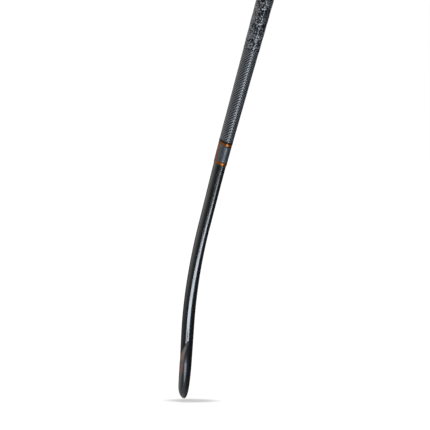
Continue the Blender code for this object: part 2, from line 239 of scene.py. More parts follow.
# Shared effects: noise levels where each begins and is all there, turns and stretches
BLOTCH_SCALE = 0.11             # noise scale of the slow blotches, where the grain's is 1
BLOTCH_EDGE = (0.35, 0.65)
SMEAR_EDGE = (0.38, 0.68)
SCRATCHED_PATCH = (0.45, 0.60)
SCRATCH_EDGE = (0.665, 0.70)
SCRATCH_TURN = (0.5, 0.2, 0.3)
SCRATCH_STRETCH = (22.0, 22.0, 1.2)
RUBBED_EDGE = (0.62, 0.86)
EDGE_WEIGHT = 0.35              # how much nearness to an edge counts beside the noise
TWILL_REPEAT = 4.0
TWILL_LAST_OVER = 1.5           # tows 0 and 1 of each repeat lie over, 2 and 3 under
CREST_EDGE = (0.30, 0.90)
CELL_EDGE = (0.02, 0.22)
STREAK_TURN = (0.0, 0.9, 0.0)
STREAK_STRETCH = (1.0, 1.0, 0.25)
TUBE_TURN = (0.0, math.pi / 2, math.pi / 2)
MEAN_GIRTH = 0.110
GLOSS_IOR = 1.8

# Roughness, and what smears, scuffs and grain add to it
LACQUER_ROUGHNESS = 0.20
TUBE_ROUGHNESS = 0.30
FOAM_ROUGHNESS = 0.70
LACQUER_SMEAR = 0.06
LACQUER_SCUFF = 0.25
FILM_SMEAR = 0.12
GRIP_GRAIN = 0.10
SOLID_GRAIN = 0.15
FOAM_GRAIN = 0.20
TUBE_GRAIN = 0.25

# How much of another tone the grain brings out, and how much paler or darker that tone is
INK_SPECKS = 0.35
INK_SPECK_TONE = 0.6
CREST_BLOTCHES = 0.15
RUBBED_CREST_TONE = 1.5
RUBBED_SOLID_TONE = 1.6
FOAM_BLOTCHES = 0.6
RESIN_BLOTCHES = 0.5
FOAM_BLOTCH_CELLS = 3           # size of the foam's grain, in cells
WEAVE_GRAIN = 0.6               # height of the grain on a tow, against the tow's crown

# Colours, as linear red, green and blue; of a pair, the first is the darker
FIBRE_WEFT = (0.0048, 0.0051, 0.0058)
FIBRE_WARP = (0.0075, 0.0079, 0.0086)
FIBRE_BLOTCH = (0.0042, 0.0045, 0.0050)
# A painted sheen: the lighter blue-black of the toe's sides
TOE_PAINTED_SHEEN = (0.009, 0.0105, 0.014)
TOE_GREYS = ((0.086, 0.092, 0.083), (0.117, 0.124, 0.112))
COPPERS = ((0.195, 0.096, 0.073), (0.250, 0.122, 0.094))
SCUFF_GREY = (0.060, 0.064, 0.072)
SCRATCH_GREY = (0.045, 0.047, 0.052)
ORANGE_INKS = ((0.31, 0.085, 0.010), (0.58, 0.185, 0.020))
GREY_INKS = ((0.030, 0.037, 0.044), (0.070, 0.082, 0.098))
END_TAPE_BLACKS = ((0.0015, 0.0015, 0.0018), (0.0030, 0.0030, 0.0034))
# The groove tones below are painted shade in the grip's grooves; the crest tones are the grip's
# own colour
SLEEVE_GROOVE_SHADE = (0.001, 0.002, 0.010)
SLEEVE_CREST = (0.134, 0.140, 0.137)
TAPE_GROOVE_SHADE = (0.003, 0.0045, 0.0075)
TAPE_CREST = (0.216, 0.222, 0.231)
RUBBER_BLACKS = ((0.016, 0.016, 0.016), (0.024, 0.024, 0.025))
# Of each foam's pair, the darker tone is painted shade in the open cells
CORE_TONES = ((0.40, 0.32, 0.19), (0.66, 0.56, 0.37))
PLUG_TONES = ((0.38, 0.29, 0.18), (0.58, 0.47, 0.32))
TUBE_FIBRES = ((0.016, 0.016, 0.017), (0.038, 0.038, 0.041))
TUBE_RESIN = (0.022, 0.021, 0.020)

Station = namedtuple("Station", "point out normal width thickness edge reach along")


def smooth(start, end, at):
    share = min(max((at - start) / (end - start), 0.0), 1.0)
    return share * share * (3.0 - 2.0 * share)


def mix(low, high, share):
    return low + (high - low) * share


def advance(x, z, lean, length, turn):
    """Walk along the face line: straight, or round an arc when there is a turn."""
    if abs(turn) < LEAST_TURN:
        return x + length * math.sin(lean), z + length * math.cos(lean), lean
    radius = length / turn
    x += radius * (math.cos(lean) - math.cos(lean + turn))
    z += radius * (math.sin(lean + turn) - math.sin(lean))
    return x, z, lean + turn


def face_line(height):
    x, z, lean, done = 0.0, 0.0, 0.0, 0.0
    for start, length, angle in BENDS:
        straight = min(height, start) - done
        x, z, lean = advance(x, z, lean, straight, 0.0)
        done += straight
        if height <= start:
            return Vector((x, 0.0, z)), lean
        bent = min(height - start, length)
        x, z, lean = advance(x, z, lean, bent, angle * bent / length)
        done += bent
        if height <= start + length:
            return Vector((x, 0.0, z)), lean
    x, z, lean = advance(x, z, lean, height - done, 0.0)
    return Vector((x, 0.0, z)), lean


def thickness_at(along):
    """Thickness by the way along the stick, which goes on below zero up the toe."""
    if along < BLADE_END:
        return mix(TOE_THICKNESS, BLADE_THICKNESS, smooth(TAPER_END, BLADE_END, along))
    if along < WAIST_AT:
        return mix(BLADE_THICKNESS, WAIST_THICKNESS, smooth(BLADE_END, WAIST_AT, along))
    return mix(WAIST_THICKNESS, HANDLE_THICKNESS, smooth(WAIST_AT, THICKENING_END, along))


def shaft_station(height):
    point, lean = face_line(height)
    narrowing = smooth(NARROWING_START, HANDLE_START, height)
    normal = Vector((math.cos(lean), 0.0, -math.sin(lean)))
    width = mix(BLADE_WIDTH, HANDLE_WIDTH, narrowing)
    edge = mix(BLADE_EDGE, WAIST_EDGE, smooth(BLADE_END, NARROWING_START, height))
    edge = mix(edge, HANDLE_EDGE, narrowing)
    out = Vector((0.0, 1.0, 0.0))
    return Station(point, out, normal, width, thickness_at(height), edge, edge, height)


def hook_directions(angle):
    out = Vector((0.0, math.cos(angle), -math.sin(angle)))
    forward = Vector((0.0, -math.sin(angle), -math.cos(angle)))
    return out, forward


def hook_point(angle):
    centre = Vector((0.0, -HOOK_RADIUS, HOOK_CENTRE))
    return centre + HOOK_RADIUS * hook_directions(angle)[0]


def hook_station(angle):
    sole = math.pi / 2
    if angle < sole:
        share = smooth(0.0, sole, angle)
        width = mix(BLADE_WIDTH, SOLE_WIDTH, share)
        edge = mix(BLADE_EDGE, SOLE_EDGE, share)
        reach = mix(BLADE_EDGE, SOLE_REACH, share)
    else:
        share = smooth(sole, HOOK_TURN, angle)
        width = mix(SOLE_WIDTH, TOE_WIDTH, share)
        edge = mix(SOLE_EDGE, TOE_EDGE, share)
        reach = mix(SOLE_REACH, TOE_EDGE, share)
    out = hook_directions(angle)[0]
    along = HOOK_CENTRE - HOOK_RADIUS * angle
    normal = Vector((1.0, 0.0, 0.0))
    return Station(hook_point(angle), out, normal, width, thickness_at(along), edge, reach, along)


def tip_thickness(from_tip):
    share = min(from_tip / TIP_TAPER, 1.0)
    return mix(TIP_THICKNESS, TOE_THICKNESS, share * (2.0 - share))


def tip_side(from_tip, curve, reach):
    """Half-width of one side of the toe, which closes on the tip along an ellipse."""
    share = min(from_tip / curve, 1.0)
    return reach * math.sqrt(1.0 - (1.0 - share) ** 2)


def toe_station(from_tip, inset):
    out, forward = hook_directions(HOOK_TURN)
    outer = tip_side(from_tip, TIP_OUTER_CURVE, TOE_WIDTH / 2 + TIP_OFFSET - inset)
    inner = tip_side(from_tip, TIP_INNER_CURVE, TOE_WIDTH / 2 - TIP_OFFSET - inset)
    climb = TOE_LENGTH - inset - from_tip
    middle = (outer - inner) / 2 - TIP_OFFSET
    point = hook_point(HOOK_TURN) + forward * climb + out * middle
    width = outer + inner + 2 * inset
    thickness = tip_thickness(from_tip + inset)
    along = HOOK_CENTRE - HOOK_RADIUS * HOOK_TURN - climb
    normal = Vector((1.0, 0.0, 0.0))
    return Station(point, out, normal, width, thickness, TOE_EDGE, TOE_EDGE, along)


def head_stations(inset):
    """Stations from the tip of the toe round the hook, each with its own inset."""
    length = TOE_LENGTH - inset
    rounding = max(TIP_ROUNDING - inset, 0.0)
    stations = []
    for ring in range(TIP_RINGS):
        from_tip = length * (1.0 - math.cos(math.pi / 2 * ring / TIP_RINGS))
        short = max(rounding - from_tip, 0.0)
        tuck = rounding - math.sqrt(rounding ** 2 - short ** 2)
        stations.append((toe_station(from_tip, inset), inset + tuck))
    for ring in range(HOOK_RINGS):
        angle = HOOK_TURN * (1.0 - ring / (HOOK_RINGS - 1))
        stations.append((hook_station(angle), inset))
    return stations


def shaft_stations(start, end, spacing):
    steps = max(1, math.ceil((end - start) / spacing))
    return [shaft_station(mix(start, end, step / steps)) for step in range(steps + 1)]


def outline(station, inset):
    """Closed section as (across, depth) rows: face, edge, elliptical back and edge."""
    width = max(station.width - 2 * inset, LEAST_SIZE)
    thickness = max(station.thickness - 2 * inset, LEAST_SIZE)
    edge = max(min(station.edge - inset, thickness / 2), 0.0)
    inner = min(edge, INNER_EDGE_SHARE * width)
    reach = max(min(station.reach - inset, OUTER_EDGE_SHARE * width), 0.0)
    half = width / 2
    turn = np.linspace(0.0, math.pi / 2, OUTLINE_SAMPLES)
    sweep = np.linspace(0.0, math.pi, BACK_SAMPLES)
    heel = (half - reach + reach * np.sin(turn), edge * (1.0 - np.cos(turn)))
    back = (half * np.cos(sweep), edge + (thickness - edge) * np.sin(sweep))
    toe = (-half + inner - inner * np.cos(turn), edge * (1.0 - np.sin(turn)))
    middle = ([0.0], [0.0])
    across = np.concatenate([middle[0], heel[0], back[0], toe[0], middle[0]])
    depth = np.concatenate([middle[1], heel[1], back[1], toe[1], middle[1]])
    return np.stack([across, inset + depth], axis=1)


def spread(points, steps, first=0.0, last=1.0):
    """Points at even distances along a section, between two shares of its girth."""
    lengths = np.linalg.norm(np.diff(points, axis=0), axis=1)
    travelled = np.concatenate([[0.0], np.cumsum(lengths)])
    at = np.linspace(first, last, steps + 1) * travelled[-1]
    return np.stack([np.interp(at, travelled, points[:, axis]) for axis in (0, 1)], axis=1)


def turned(station, pairs):
    """Section directions, as across and depth, turned into the stick's own space."""
    out, normal = np.array(station.out), np.array(station.normal)
    return pairs[:, :1] * out - pairs[:, 1:] * normal


def place(station, pairs):
    return np.array(station.point) + turned(station, pairs)


def ring(station, inset, steps=GIRTH_STEPS):
    return place(station, spread(outline(station, inset), steps))


def pose_matrix():
    """Leans the stick and brings the hand hold to the origin, as in the frame."""
    station = shaft_station(HAND_HOLD)
    hold = station.point - station.normal * station.thickness / 2
    turn = Matrix.Rotation(HEAD_LEAN, 4, "Y")
    return Matrix.Translation(-(turn @ hold)) @ turn


POSE = pose_matrix()


def rolled(name, rings, along, crest=None):
    """A grid rolled round the stick, ring by ring, and welded where it meets itself.

    Its map has u as the share of the girth and v as metres along the stick. The attribute
    crest says how near each point is to the top of the relief, from 0 to 1; on the wound tape
    it is also lowered before each lap, as painted shade.
    """
    steps = len(rings[0]) - 1
    mesh = bmesh.new()
    bmesh.ops.create_grid(mesh, x_segments=steps, y_segments=len(rings) - 1, size=1.0)
    data = bpy.data.meshes.new(name)
    mesh.to_mesh(data)
    data.vertices.foreach_set("co", np.concatenate(rings).astype(np.float32).ravel())
    corners = np.empty(len(data.loops), dtype=np.int32)
    data.loops.foreach_get("vertex_index", corners)
    row, corner = np.divmod(corners, steps + 1)
    mapped = np.stack([corner / steps, np.array(along)[row]], axis=1)
    data.uv_layers.new(name="UVMap").data.foreach_set("uv", mapped.astype(np.float32).ravel())
    if crest is not None:
        tops = data.attributes.new("crest", "FLOAT", "POINT")
        tops.data.foreach_set("value", np.concatenate(crest).astype(np.float32))
    mesh.clear()
    mesh.from_mesh(data)
    bmesh.ops.remove_doubles(mesh, verts=mesh.verts, dist=WELD_DISTANCE)
    bmesh.ops.transform(mesh, matrix=POSE, verts=mesh.verts)
    bmesh.ops.recalc_face_normals(mesh, faces=mesh.faces)
    mesh.to_mesh(data)
    mesh.free()
    data.shade_smooth()
    piece = bpy.data.objects.new(name, data)
    bpy.context.scene.collection.objects.link(piece)
    return piece


def dress(piece, node, finish):
    """Lets a piece stand for its CAD node, with the finish of the record's slot."""
    piece.data.materials.append(finish)
    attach(piece, "root")
    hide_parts(node)


def laminate_skin(finish):
    """Outer skin from the toe's tip to the butt, and the inner wall back again."""
    shaft = shaft_stations(HOOK_CENTRE, SHELL_END, RING_SPACING)[1:]
    outer = head_stations(0.0) + [(station, 0.0) for station in shaft]
    inside = shaft_stations(HOOK_CENTRE, SHELL_END, INNER_SPACING)[1:]
    inner = head_stations(SHELL_WALL) + [(station, SHELL_WALL) for station in inside]
    path = outer + inner[::-1]
    rings = [ring(station, inset) for station, inset in path]
    for tip in (0, -1):
        rings[tip][:] = rings[tip].mean(axis=0)
    piece = rolled("lacquered_stick", rings, [station.along for station, _ in path])
    dress(piece, "composite_shell", finish)


def hoop(name, start, end, thickness, spacing):
    """A skin all round the shaft, with its rims."""
    stations = shaft_stations(start, end, spacing)
    outer = [(station, -CLEARANCE - thickness) for station in stations]
    inner = [(station, -CLEARANCE) for station in stations[::-1]]
    path = outer + inner + outer[:1]
    rings = [ring(station, inset) for station, inset in path]
    return rolled(name, rings, [station.along for station, _ in path])


def strip_bounds(station):
    """Shares of the girth where the strip on the back starts and ends."""
    points = outline(station, 0.0)
    lengths = np.linalg.norm(np.diff(points, axis=0), axis=1)
    travelled = np.concatenate([[0.0], np.cumsum(lengths)]) / lengths.sum()
    back_start = 1 + OUTLINE_SAMPLES
    back_steps = BACK_SAMPLES - 1
    first = back_start + back_steps * (1.0 - STRIP_SHARE) / 2
    last = back_start + back_steps * (1.0 + STRIP_SHARE) / 2
    places = np.arange(len(travelled))
    return np.interp(first, places, travelled), np.interp(last, places, travelled)


def film(name, start, end, bounds, steps):
    """A film over part of the girth: its outer face, its inner face and its edges.

    The bounds are shares of the girth, and the last is past 1 where the film crosses its seam.
    """
    def face(station, inset):
        first, last = bounds(station)
        points = outline(station, inset)
        if last > 1.0:
            points = np.concatenate([points[:-1], points])
            first, last = first / 2, last / 2
        return spread(points, steps, first, last)

    def closed(rim):
        middle = (rim[:steps + 1] + rim[steps + 1:-1][::-1]) / 2
        return np.concatenate([middle, middle[::-1], middle[:1]])

    stations = shaft_stations(start, end, RING_SPACING)
    rings = []
    for station in stations:
        outer = face(station, -CLEARANCE - BAND_THICKNESS)
        inner = face(station, -CLEARANCE)[::-1]
        rings.append(place(station, np.concatenate([outer, inner, outer[:1]])))
    rings = [closed(rings[0])] + rings + [closed(rings[-1])]
    along = [station.along for station in stations]
    return rolled(name, rings, along[:1] + along + along[-1:])


def finish_band(orange, grey):
    lower_end = BAND_START + TRIM_WIDTH
    upper_start = BAND_END - TRIM_WIDTH
    trims = (
        ("trim_ring_lower", "band_trim_lower", BAND_START, lower_end),
        ("trim_ring_upper", "band_trim_upper", upper_start, BAND_END),
    )
    for name, node, first, last in trims:
        trim = hoop(name, first, last, BAND_THICKNESS, BAND_SPACING)
        dress(trim, node, orange)

    start = lower_end + CLEARANCE
    end = upper_start - CLEARANCE
    girth = np.linalg.norm(np.diff(outline(shaft_station(end), 0.0), axis=0), axis=1).sum()
    gap = CLEARANCE / girth

    def panel_bounds(station):
        first, last = strip_bounds(station)
        return last + gap, first + 1.0 - gap

    strip = film("back_strip", start, end, strip_bounds, STRIP_STEPS)
    dress(strip, "band_back_strip", orange)
    panel = film("grey_panel", start, end, panel_bounds, PANEL_STEPS)
    dress(panel, "band_panel", grey)


def edge_tape(finish):
    end = END_TAPE_START + END_TAPE_WIDTH
    tape = hoop("grip_edge_tape", END_TAPE_START, end, END_TAPE_THICKNESS, EDGE_TAPE_SPACING)
    dress(tape, "grip_end_tape", finish)


def outward(points):
    """Unit vectors that point away from a closed section, at each of its points."""
    tangent = np.roll(points[:-1], -1, axis=0) - np.roll(points[:-1], 1, axis=0)
    tangent /= np.linalg.norm(tangent, axis=1)[:, None]
    away = np.stack([tangent[:, 1], -tangent[:, 0]], axis=1)
    return np.concatenate([away, away[:1]])


def drift(points, size):
    """Slow, even wandering from -1 to 1 over a ring's points, the same where it closes."""
    values = [noise.noise(Vector(point) / size) for point in points[:-1]]
    return np.array(values + values[:1])


def rib_crest(along, flat):
    """Fine dotted ribs that wind up the sleeve both ways; 1 on a crest."""
    round_way = RIBS_ROUND * np.linspace(0.0, 1.0, SLEEVE_STEPS + 1)
    climb = along / RIB_PITCH + RIB_WANDER * drift(flat, WANDER_SIZE)
    rising = np.cos(2 * math.pi * (climb - round_way))
    falling = np.cos(2 * math.pi * (climb + round_way))
    return 0.5 + RISING_SHARE * rising + FALLING_SHARE * falling


def ribbed_sleeve(finish):
    stations = shaft_stations(SLEEVE_START, TAPE_START - CLEARANCE, SLEEVE_SPACING)
    inset = -CLEARANCE - SLEEVE_THICKNESS
    rings = []
    crests = []
    for station in stations:
        pairs = spread(outline(station, inset), SLEEVE_STEPS)
        crest = rib_crest(station.along, place(station, pairs))
        lift = -RIB_DEPTH * (1.0 - crest)
        rings.append(place(station, pairs + outward(pairs) * lift[:, None]))
        crests.append(crest)
    inner = shaft_stations(SLEEVE_START, TAPE_START - CLEARANCE, INNER_SPACING)[::-1]
    rings += [ring(station, -CLEARANCE, SLEEVE_STEPS) for station in inner]
    crests += [np.ones(SLEEVE_STEPS + 1) for _ in inner]
    along = [station.along for station in stations + inner + stations[:1]]
    piece = rolled("ribbed_sleeve", rings + rings[:1], along, crests + crests[:1])
    dress(piece, "grip_sleeve", finish)


def lap_height(turns):
    """How far the tape stands proud: up the flank of a lap, then slowly down to the next."""
    share = turns % 1.0
    down = (1.0 - share) / (1.0 - LAP_FLANK)
    return TAPE_LAP * np.where(share < LAP_FLANK, share / LAP_FLANK, down)


def pebble_crest(points):
    """Pebbled skin of the wound tape: 1 on a pebble, 0 in the creases between them."""
    crest = []
    for point in points[:-1]:
        nearest, second = noise.voronoi(Vector(point) / PEBBLE_SIZE)[0][:2]
        crest.append(min((second - nearest) / CREASE_WIDTH, 1.0) ** PEBBLE_CURVE)
    return np.array(crest + crest[:1])


def tape_rows():
    """Places of the tape's rows in turns, from a turn below its start, close on the flanks."""
    slope = np.linspace(LAP_FLANK, 1.0, TAPE_ROWS_A_TURN - 1)[:-1]
    shares = [0.0, LAP_FLANK / 2] + list(slope)
    rows = [turn + share for turn in range(-1, TAPE_TURNS) for share in shares]
    return rows + [TAPE_TURNS]


def tape_base():
    """The tape's skin without its relief, ring by ring, and the ways out of it."""
    skins = []
    aways = []
    for station in shaft_stations(TAPE_START, SHELL_END, RING_SPACING):
        pairs = spread(outline(station, -CLEARANCE - TAPE_THICKNESS), TAPE_STEPS)
        skins.append(place(station, pairs))
        aways.append(turned(station, outward(pairs)))
    return np.array(skins), np.array(aways)


def wound_tape(finish):
    """Grip tape wound up the handle, each turn lapping the one before it.

    The rows climb one pitch a turn, along the laps. Where a row would run past an end of
    the tape it lies on that end's rim and is welded to it.
    """
    rows = tape_rows()
    skins, aways = tape_base()
    corners = np.arange(TAPE_STEPS + 1)
    rings = []
    crests = []
    for row in rows:
        wanted = TAPE_START + TAPE_PITCH * (row + corners / TAPE_STEPS)
        height = np.clip(wanted, TAPE_START, SHELL_END)
        proud = lap_height((height - TAPE_START) / TAPE_PITCH - corners / TAPE_STEPS)
        at = (height - TAPE_START) / (SHELL_END - TAPE_START) * (len(skins) - 1)
        below = np.minimum(at.astype(int), len(skins) - 2)
        share = (at - below)[:, None]
        flat = mix(skins[below, corners], skins[below + 1, corners], share)
        away = mix(aways[below, corners], aways[below + 1, corners], share)
        crest = pebble_crest(flat)
        lift = proud - PEBBLE_DEPTH * (1.0 - crest)
        rings.append(flat + away * lift[:, None])
        # Painted shade before each lap, carried in the crest attribute
        crests.append(crest * mix(1.0 - PAINTED_LAP_SHADE, 1.0, proud / TAPE_LAP))
    inner = shaft_stations(TAPE_START, SHELL_END, INNER_SPACING)[::-1]
    along = [TAPE_START + TAPE_PITCH * row for row in rows]
    along += [station.along for station in inner] + [TAPE_START]
    rings += [ring(station, -CLEARANCE, TAPE_STEPS) for station in inner]
    crests += [np.ones(TAPE_STEPS + 1) for _ in inner]
    piece = rolled("wound_tape", rings + rings[:1], along, crests + crests[:1])
    dress(piece, "grip_tape", finish)


def rubber_cap(finish):
    """Cap flush with the grip, its spigot in the plug."""
    spigot = SHELL_WALL + PLUG_WALL + 2 * CLEARANCE
    rim = -(CLEARANCE + TAPE_THICKNESS + TAPE_LAP)
    seat = shaft_station(SHELL_END + CLEARANCE)
    path = [(shaft_station(SHELL_END - SPIGOT_LENGTH), spigot), (seat, spigot), (seat, rim)]
    for step in range(CAP_STEPS + 1):
        turn = math.pi / 2 * step / CAP_STEPS
        height = STICK_LENGTH - CAP_ROUNDING * (1.0 - math.sin(turn))
        path.append((shaft_station(height), rim + CAP_ROUNDING * (1.0 - math.cos(turn))))
    path.insert(0, path[0])
    path.append(path[-1])
    rings = [ring(station, inset) for station, inset in path]
    for end in (0, -1):
        rings[end][:] = rings[end].mean(axis=0)
    piece = rolled("rubber_cap", rings, [station.along for station, _ in path])
    piece.data.set_sharp_from_angle(angle=CAP_CREASE)
    dress(piece, "butt_cap", finish)


def feed(tree, node, inputs):
    """Sets a node's inputs, given as values or as sockets to link."""
    for name, value in inputs.items():
        if isinstance(value, bpy.types.NodeSocket):
            tree.links.new(value, node.inputs[name])
        else:
            node.inputs[name].default_value = value


def add(tree, kind, inputs=None, **settings):
    """A shader node with its settings and inputs."""
    made = tree.nodes.new("ShaderNode" + kind)
    for name, value in settings.items():
        setattr(made, name, value)
    feed(tree, made, inputs or {})
    return made


def calculate(tree, operation, first, second=0.0):
    return add(tree, "Math", {0: first, 1: second}, operation=operation).outputs[0]


def product(tree, *values):
    result = values[0]
    for value in values[1:]:
        result = calculate(tree, "MULTIPLY", result, value)
    return result


def raised(tree, base, *parts):
    """A base value with something added for each (mask, amount) pair."""
    for mask, amount in parts:
        base = calculate(tree, "ADD", base, product(tree, mask, amount))
    return base


def rest(tree, mask):
    """What a mask leaves of 1."""
    return calculate(tree, "SUBTRACT", 1.0, mask)


def span(tree, value, low, high, to_low=0.0, to_high=1.0):
    """A value carried smoothly from one range to another, and held at its ends."""
    places = {
        "Value": value, "From Min": low, "From Max": high, "To Min": to_low, "To Max": to_high,
    }
    return add(tree, "MapRange", places, interpolation_type="SMOOTHSTEP").outputs["Result"]


def fade(tree, value, low, high):
    return span(tree, value, low, high, 1.0, 0.0)


def window(tree, value, opening, closing):
    """1 between two soft edges, each given by where it begins and ends."""
    return product(tree, span(tree, value, *opening), fade(tree, value, *closing))


def blend(tree, share, first, second):
    """Two values mixed by a share."""
    inputs = {"Factor": share, "A": first, "B": second}
    return add(tree, "Mix", inputs, data_type="FLOAT").outputs["Result"]


def between(tree, share, first, second):
    """Colours, given as rgb values or as sockets, mixed by a share."""
    tones = {"Factor": share}
    for name, tone in (("A", first), ("B", second)):
        tones[name] = tone if isinstance(tone, bpy.types.NodeSocket) else (*tone, 1.0)
    return add(tree, "Mix", tones, data_type="RGBA").outputs["Result"]


def toned(colour, share):
    return tuple(share * part for part in colour)


def cloud(tree, place, scale=1.0, detail=2.0, roughness=0.5, distortion=0.0):
    """Noise whose blotches are about one unit across at a scale of 1."""
    inputs = {
        "Vector": place, "Scale": scale, "Detail": detail, "Roughness": roughness,
        "Distortion": distortion,
    }
    return add(tree, "TexNoise", inputs).outputs["Fac"]


def mapped_place(tree, place, **turns):
    """A place moved by Location, turned by Rotation or stretched by Scale."""
    return add(tree, "Mapping", {"Vector": place, **turns}).outputs["Vector"]


def shared(name, inputs, outputs):
    """An empty node group: input names with their values, and output names."""
    group = bpy.data.node_groups.new(name, "ShaderNodeTree")
    for title, value in inputs.items():
        kind = "NodeSocketVector" if value is None else "NodeSocketFloat"
        socket = group.interface.new_socket(title, in_out="INPUT", socket_type=kind)
        if value is not None:
            socket.default_value = value
    for title in outputs:
        group.interface.new_socket(title, in_out="OUTPUT", socket_type="NodeSocketFloat")
    entry = group.nodes.new("NodeGroupInput")
    return group, entry.outputs, group.nodes.new("NodeGroupOutput")


def use(tree, group, inputs):
    return add(tree, "Group", inputs, node_tree=group).outputs


def scaled(group, vector, size):
    """A place divided by a size, so that noise of scale 1 has blotches that large."""
    shrink = calculate(group, "DIVIDE", 1.0, size)
    node = add(group, "VectorMath", {0: vector, "Scale": shrink}, operation="SCALE")
    return node.outputs["Vector"]


def grain_group():
    """Fine grain over slow blotches."""
    inputs = {"Place": None, "Size": 0.001}
    group, given, leaving = shared("surface_grain", inputs, ("Fine", "Slow"))
    small = scaled(group, given["Place"], given["Size"])
    fine = cloud(group, small, detail=3.0)
    slow = cloud(group, small, scale=BLOTCH_SCALE)
    feed(group, leaving, {"Fine": fine, "Slow": slow})
    return group


def handling_group():
    """Dull smears left by hands and cloths, and the few hairline scratches among them."""
    inputs = {"Place": None, "Size": 0.03, "Scratches": 0.5}
    group, given, leaving = shared("handling_marks", inputs, ("Smear", "Scratch"))
    wide = scaled(group, given["Place"], given["Size"])
    blotch = cloud(group, wide, detail=4.0, distortion=0.8)
    drawn = mapped_place(group, wide, Rotation=SCRATCH_TURN, Scale=SCRATCH_STRETCH)
    hairline = span(group, cloud(group, drawn, detail=1.0), *SCRATCH_EDGE)
    patch = span(group, blotch, *SCRATCHED_PATCH)
    feed(group, leaving, {
        "Smear": span(group, blotch, *SMEAR_EDGE),
        "Scratch": product(group, hairline, patch, given["Scratches"]),
    })
    return group


def wear_group():
    """Rubbed patches where an edge or a crest is near, broken up by noise."""
    inputs = {"Place": None, "Nearness": 0.0, "Size": 0.004, "Amount": 0.5}
    group, given, leaving = shared("rubbed_edges", inputs, ("Mask",))
    near = scaled(group, given["Place"], given["Size"])
    patch = cloud(group, near, detail=5.0, roughness=0.65)
    level = raised(group, patch, (given["Nearness"], EDGE_WEIGHT))
    feed(group, leaving, {
        "Mask": product(group, span(group, level, *RUBBED_EDGE), given["Amount"]),
    })
    return group


def twill_group():
    """Fibre tows woven two over, two under: which way a tow runs, and its crown."""
    group, given, leaving = shared("fibre_twill", {"Place": None, "Tow": 0.002}, ("Warp", "Crown"))
    split = add(group, "SeparateXYZ", {0: scaled(group, given["Place"], given["Tow"])})
    ways = (split.outputs["X"], split.outputs["Y"])
    across, along = [calculate(group, "FLOOR", way) for way in ways]
    step = calculate(group, "ADD", across, along)
    turn = calculate(group, "FLOORED_MODULO", step, TWILL_REPEAT)
    warp = calculate(group, "LESS_THAN", turn, TWILL_LAST_OVER)
    crowns = []
    for way in ways:
        within = calculate(group, "SUBTRACT", calculate(group, "FRACT", way), 0.5)
        # 1 along the middle of a tow, 0 at its sides
        crowns.append(raised(group, 1.0, (product(group, within, within), -4.0)))
    feed(group, leaving, {"Warp": warp, "Crown": blend(group, warp, crowns[1], crowns[0])})
    return group


GRAIN = grain_group()
HANDLING = handling_group()
WEAR = wear_group()
TWILL = twill_group()


def finish_tree(name):
    """A new material: itself, its tree, its shader and the place on the object."""
    finish = bpy.data.materials.new(name)
    finish.use_nodes = True
    tree = finish.node_tree
    place = add(tree, "TexCoord").outputs["Object"]
    return finish, tree, tree.nodes["Principled BSDF"], place


def map_places(tree):
    """The piece's own map: share of the girth, metres along, and both in metres."""
    chart = add(tree, "UVMap", uv_map="UVMap").outputs["UV"]
    split = add(tree, "SeparateXYZ", {0: chart})
    metric = mapped_place(tree, chart, Scale=(MEAN_GIRTH, 1.0, 1.0))
    return split.outputs["X"], split.outputs["Y"], metric


def roughen(tree, shader, height, depth):
    """Relief of a given depth in metres, as bump."""
    bump = add(tree, "Bump", {"Height": height, "Strength": 1.0, "Distance": depth})
    tree.links.new(bump.outputs["Normal"], shader.inputs["Normal"])


def copper_stripes(tree, along, from_back):
    """Mask of the two painted stripes across the toe's back."""
    masks = []
    for start, end in COPPER_STRIPES:
        opening = (start, start + COPPER_EDGE)
        masks.append(window(tree, along, opening, (end - COPPER_EDGE, end)))
    return product(tree, fade(tree, from_back, *COPPER_SIDE), calculate(tree, "ADD", *masks))


def toe_field(tree, along, from_back):
    """Mask of the grey field on the toe's back, which narrows towards the bend."""
    past = calculate(tree, "SUBTRACT", from_back, span(tree, along, *FIELD_NARROWING))
    return product(tree, window(tree, along, FIELD_TIP, FIELD_BEND), fade(tree, past, *FIELD_SIDE))


